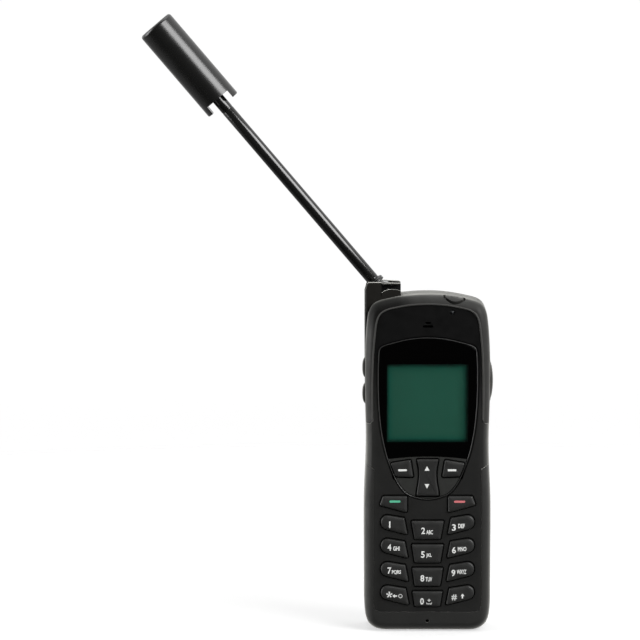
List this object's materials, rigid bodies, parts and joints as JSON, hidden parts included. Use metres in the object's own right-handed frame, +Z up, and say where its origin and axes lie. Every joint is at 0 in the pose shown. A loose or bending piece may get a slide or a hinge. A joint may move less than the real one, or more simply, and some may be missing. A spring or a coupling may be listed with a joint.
{
  "type": "satellite phone",
  "caption": "Handheld satellite phone with keypad, display, rubber bumpers, removable battery and a capped mast antenna that swivels from its upper left corner.",
  "frame": {"origin": "middle of the flat bottom face that the handset stands on", "axes": "+Z up along the handset, -Y is the keypad side, +X is to the right when looking at the keypad"},
  "size_m": [0.1478, 0.031, 0.2593],
  "materials": {
    "panel_plastic": "fine moulded grain, satin black",
    "shell_plastic": "moulded grain, matt charcoal",
    "bumper_rubber": "soft-touch rubber, dull charcoal",
    "grip_rubber": "soft-touch rubber, dull charcoal",
    "key_plastic": "satin black key caps with printed legends",
    "lens": "polished black lens with a clear window",
    "bezel_plastic": "satin charcoal",
    "display": "dark green liquid-crystal panel",
    "light_pipe": "clear light pipe",
    "sheet_metal": "bright tin plate",
    "screw_steel": "blackened steel",
    "gold_contact": "gold plate",
    "copper": "copper foil",
    "silicone": "milky silicone",
    "circuit_board": "green solder mask",
    "card_plastic": "plain white plastic",
    "guide_plastic": "natural engineering plastic",
    "turret_plastic": "satin dark brown-black",
    "mast_lacquer": "gloss black lacquer",
    "radome_plastic": "semi-gloss black"
  },
  "bodies": {
    "handset": {"front_housing": "panel_plastic", "upper_bumper": "bumper_rubber", "lower_bumper": "grip_rubber", "rear_housing": "shell_plastic", "screw_lower_left": "screw_steel", "screw_lower_right": "screw_steel", "screw_upper_left": "screw_steel", "screw_upper_right": "screw_steel", "display_lens": "lens", "navigation_bezel": "bezel_plastic", "lcd_module": "display", "status_light": "light_pipe", "earpiece": "sheet_metal", "microphone": "sheet_metal", "keypad_mat": "silicone", "main_board": "circuit_board", "rf_shield": "sheet_metal", "loudspeaker": "sheet_metal", "aerial_socket": "gold_contact", "data_socket": "sheet_metal", "power_socket": "sheet_metal", "headset_socket": "sheet_metal", "battery_contacts": "gold_contact", "sim_card": "card_plastic", "antenna_turret": "turret_plastic", "mast_guide_tube": "guide_plastic"},
    "soft_key_left_cap": {"soft_key_left": "key_plastic"},
    "soft_key_right_cap": {"soft_key_right": "key_plastic"},
    "call_key_cap": {"call_key": "key_plastic"},
    "end_key_cap": {"end_key": "key_plastic"},
    "key_1_cap": {"key_1": "key_plastic"},
    "key_2_cap": {"key_2": "key_plastic"},
    "key_3_cap": {"key_3": "key_plastic"},
    "key_4_cap": {"key_4": "key_plastic"},
    "key_5_cap": {"key_5": "key_plastic"},
    "key_6_cap": {"key_6": "key_plastic"},
    "key_7_cap": {"key_7": "key_plastic"},
    "key_8_cap": {"key_8": "key_plastic"},
    "key_9_cap": {"key_9": "key_plastic"},
    "key_star_cap": {"key_star": "key_plastic"},
    "key_0_cap": {"key_0": "key_plastic"},
    "key_hash_cap": {"key_hash": "key_plastic"},
    "rocker_cap": {"navigation_rocker": "key_plastic"},
    "volume_up_key_cap": {"volume_up_key": "grip_rubber"},
    "volume_down_key_cap": {"volume_down_key": "grip_rubber"},
    "power_cap": {"power_button": "grip_rubber"},
    "antenna": {"antenna_knuckle": "mast_lacquer", "mast_stop": "sheet_metal", "mast_bushing": "mast_lacquer", "mast_tube": "mast_lacquer", "antenna_radome": "radome_plastic", "helix_core": "guide_plastic", "helix_winding": "copper"},
    "headset_flap": {"headset_cover": "grip_rubber"},
    "data_flap": {"data_cover": "grip_rubber"},
    "aerial_flap": {"aerial_cover": "grip_rubber"},
    "latch": {"battery_latch": "key_plastic"},
    "battery": {"battery_cover": "shell_plastic", "battery_base": "shell_plastic", "battery_cell": "card_plastic"}
  },
  "joints": [
    {"name": "soft_key_left_press", "type": "slide", "parent": "handset", "child": "soft_key_left_cap", "axis": [0, 1, 0], "range_m": [0, 0.0004], "stiffness_N_per_m": 2500, "springref_m": -0.0001},
    {"name": "soft_key_right_press", "type": "slide", "parent": "handset", "child": "soft_key_right_cap", "axis": [0, 1, 0], "range_m": [0, 0.0004], "stiffness_N_per_m": 2500, "springref_m": -0.0001},
    {"name": "call_key_press", "type": "slide", "parent": "handset", "child": "call_key_cap", "axis": [0, 1, 0], "range_m": [0, 0.0004], "stiffness_N_per_m": 2500, "springref_m": -0.0001},
    {"name": "end_key_press", "type": "slide", "parent": "handset", "child": "end_key_cap", "axis": [0, 1, 0], "range_m": [0, 0.0004], "stiffness_N_per_m": 2500, "springref_m": -0.0001},
    {"name": "key_1_press", "type": "slide", "parent": "handset", "child": "key_1_cap", "axis": [0, 1, 0], "range_m": [0, 0.0004], "stiffness_N_per_m": 2500, "springref_m": -0.0001},
    {"name": "key_2_press", "type": "slide", "parent": "handset", "child": "key_2_cap", "axis": [0, 1, 0], "range_m": [0, 0.0004], "stiffness_N_per_m": 2500, "springref_m": -0.0001},
    {"name": "key_3_press", "type": "slide", "parent": "handset", "child": "key_3_cap", "axis": [0, 1, 0], "range_m": [0, 0.0004], "stiffness_N_per_m": 2500, "springref_m": -0.0001},
    {"name": "key_4_press", "type": "slide", "parent": "handset", "child": "key_4_cap", "axis": [0, 1, 0], "range_m": [0, 0.0004], "stiffness_N_per_m": 2500, "springref_m": -0.0001},
    {"name": "key_5_press", "type": "slide", "parent": "handset", "child": "key_5_cap", "axis": [0, 1, 0], "range_m": [0, 0.0004], "stiffness_N_per_m": 2500, "springref_m": -0.0001},
    {"name": "key_6_press", "type": "slide", "parent": "handset", "child": "key_6_cap", "axis": [0, 1, 0], "range_m": [0, 0.0004], "stiffness_N_per_m": 2500, "springref_m": -0.0001},
    {"name": "key_7_press", "type": "slide", "parent": "handset", "child": "key_7_cap", "axis": [0, 1, 0], "range_m": [0, 0.0004], "stiffness_N_per_m": 2500, "springref_m": -0.0001},
    {"name": "key_8_press", "type": "slide", "parent": "handset", "child": "key_8_cap", "axis": [0, 1, 0], "range_m": [0, 0.0004], "stiffness_N_per_m": 2500, "springref_m": -0.0001},
    {"name": "key_9_press", "type": "slide", "parent": "handset", "child": "key_9_cap", "axis": [0, 1, 0], "range_m": [0, 0.0004], "stiffness_N_per_m": 2500, "springref_m": -0.0001},
    {"name": "key_star_press", "type": "slide", "parent": "handset", "child": "key_star_cap", "axis": [0, 1, 0], "range_m": [0, 0.0004], "stiffness_N_per_m": 2500, "springref_m": -0.0001},
    {"name": "key_0_press", "type": "slide", "parent": "handset", "child": "key_0_cap", "axis": [0, 1, 0], "range_m": [0, 0.0004], "stiffness_N_per_m": 2500, "springref_m": -0.0001},
    {"name": "key_hash_press", "type": "slide", "parent": "handset", "child": "key_hash_cap", "axis": [0, 1, 0], "range_m": [0, 0.0004], "stiffness_N_per_m": 2500, "springref_m": -0.0001},
    {"name": "navigation_rock", "type": "hinge", "parent": "handset", "child": "rocker_cap", "pos_m": [0, -0.0124, 0.0654], "axis": [1, 0, 0], "range_deg": [-2.5, 2.5], "stiffness_Nm_per_rad": 0.24},
    {"name": "volume_up_key_press", "type": "slide", "parent": "handset", "child": "volume_up_key_cap", "axis": [1, 0, 0], "range_m": [0, 0.0004], "stiffness_N_per_m": 2500, "springref_m": -0.0001},
    {"name": "volume_down_key_press", "type": "slide", "parent": "handset", "child": "volume_down_key_cap", "axis": [1, 0, 0], "range_m": [0, 0.0004], "stiffness_N_per_m": 2500, "springref_m": -0.0001},
    {"name": "power_press", "type": "slide", "parent": "handset", "child": "power_cap", "axis": [0, 0.4226, -0.9063], "range_m": [0, 0.0004], "stiffness_N_per_m": 2500, "springref_m": -0.0001},
    {"name": "antenna_swivel", "type": "hinge", "parent": "handset", "child": "antenna", "pos_m": [-0.018, 0.0015, 0.1416], "axis": [0, 1, 0], "range_deg": [-49.5, 85.5]},
    {"name": "headset_cover_hinge", "type": "hinge", "parent": "handset", "child": "headset_flap", "pos_m": [0.0267, -0.0055, 0.097], "axis": [0, 1, 0], "range_deg": [0, 100]},
    {"name": "data_cover_hinge", "type": "hinge", "parent": "handset", "child": "data_flap", "pos_m": [0.00825, 0.0061, 0.00012], "axis": [1, 0, 0], "range_deg": [0, 100]},
    {"name": "aerial_cover_hinge", "type": "hinge", "parent": "handset", "child": "aerial_flap", "pos_m": [0.0125, 0.0139, 0.095], "axis": [-1, 0, 0], "range_deg": [0, 110]},
    {"name": "battery_latch_slide", "type": "slide", "parent": "handset", "child": "latch", "axis": [0, 0, 1], "range_m": [0, 0.0022], "stiffness_N_per_m": 600, "springref_m": -0.0005},
    {"name": "battery_removal", "type": "slide", "parent": "handset", "child": "battery", "axis": [0, 1, 0], "range_m": [0, 0.025]}
  ]
}
